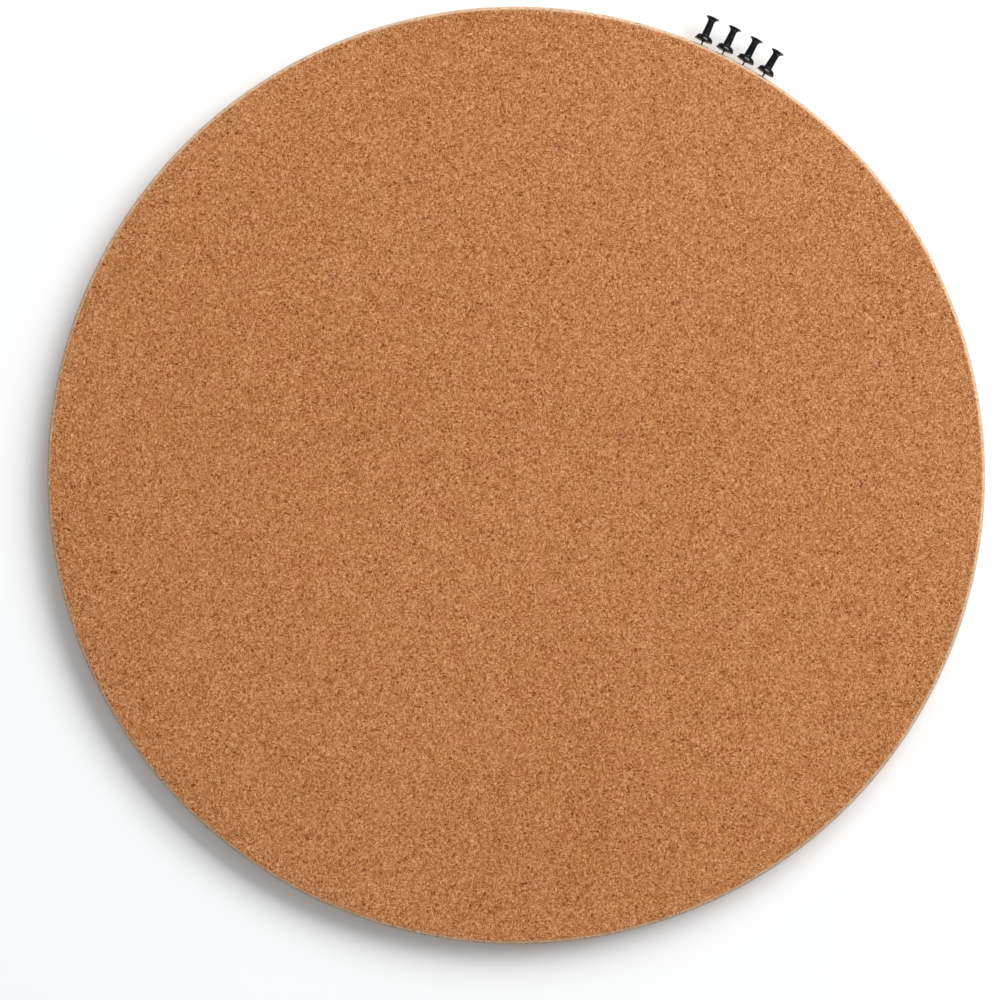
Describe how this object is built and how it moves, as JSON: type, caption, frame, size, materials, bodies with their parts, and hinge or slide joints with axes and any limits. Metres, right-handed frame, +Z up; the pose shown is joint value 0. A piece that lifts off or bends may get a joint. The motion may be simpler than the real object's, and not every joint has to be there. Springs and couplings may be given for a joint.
{
  "type": "cork bulletin board",
  "caption": "Round frameless cork bulletin board for a wall, with a pale cork edge band, push pins stuck in its rim and keyhole plates let into its back.",
  "frame": {"origin": "centre of the back, in the plane of the wall that the board hangs on", "axes": "+Y into the wall, so the cork faces -Y; +Z up; +X to the right of someone facing the cork"},
  "size_m": [0.4999, 0.0175, 0.5],
  "materials": {
    "cork_face": "matte agglomerated cork, fine granules, sanded",
    "cork_edge": "matte cork strip, paler than the face",
    "softboard": "matte soft fibreboard",
    "fibreboard": "matte smooth fibreboard",
    "plated_steel": "bright zinc plate",
    "screw_steel": "yellow zinc plate",
    "black_plastic": "glossy moulded polystyrene",
    "needle_steel": "polished hardened steel"
  },
  "bodies": {
    "board": {"backing_panel": "fibreboard", "softboard_core": "softboard", "cork_facing": "cork_face", "edge_band": "cork_edge", "hanger_plate_left": "plated_steel", "hanger_screw_left_upper": "screw_steel", "hanger_screw_left_lower": "screw_steel", "hanger_plate_right": "plated_steel", "hanger_screw_right_upper": "screw_steel", "hanger_screw_right_lower": "screw_steel"},
    "push_pin_1": {"push_pin_1_handle": "black_plastic", "push_pin_1_needle": "needle_steel"},
    "push_pin_2": {"push_pin_2_handle": "black_plastic", "push_pin_2_needle": "needle_steel"},
    "push_pin_3": {"push_pin_3_handle": "black_plastic", "push_pin_3_needle": "needle_steel"},
    "push_pin_4": {"push_pin_4_handle": "black_plastic", "push_pin_4_needle": "needle_steel"}
  },
  "joints": [
    {"name": "push_pin_1_slide", "type": "slide", "parent": "board", "child": "push_pin_1", "axis": [0.3947, 0, 0.9188], "range_m": [-0.0015, 0.0085]},
    {"name": "push_pin_2_slide", "type": "slide", "parent": "board", "child": "push_pin_2", "axis": [0.4393, 0, 0.8983], "range_m": [-0.0015, 0.0085]},
    {"name": "push_pin_3_slide", "type": "slide", "parent": "board", "child": "push_pin_3", "axis": [0.4828, 0, 0.8757], "range_m": [-0.0015, 0.0085]},
    {"name": "push_pin_4_slide", "type": "slide", "parent": "board", "child": "push_pin_4", "axis": [0.5252, 0, 0.851], "range_m": [-0.0015, 0.0085]}
  ]
}
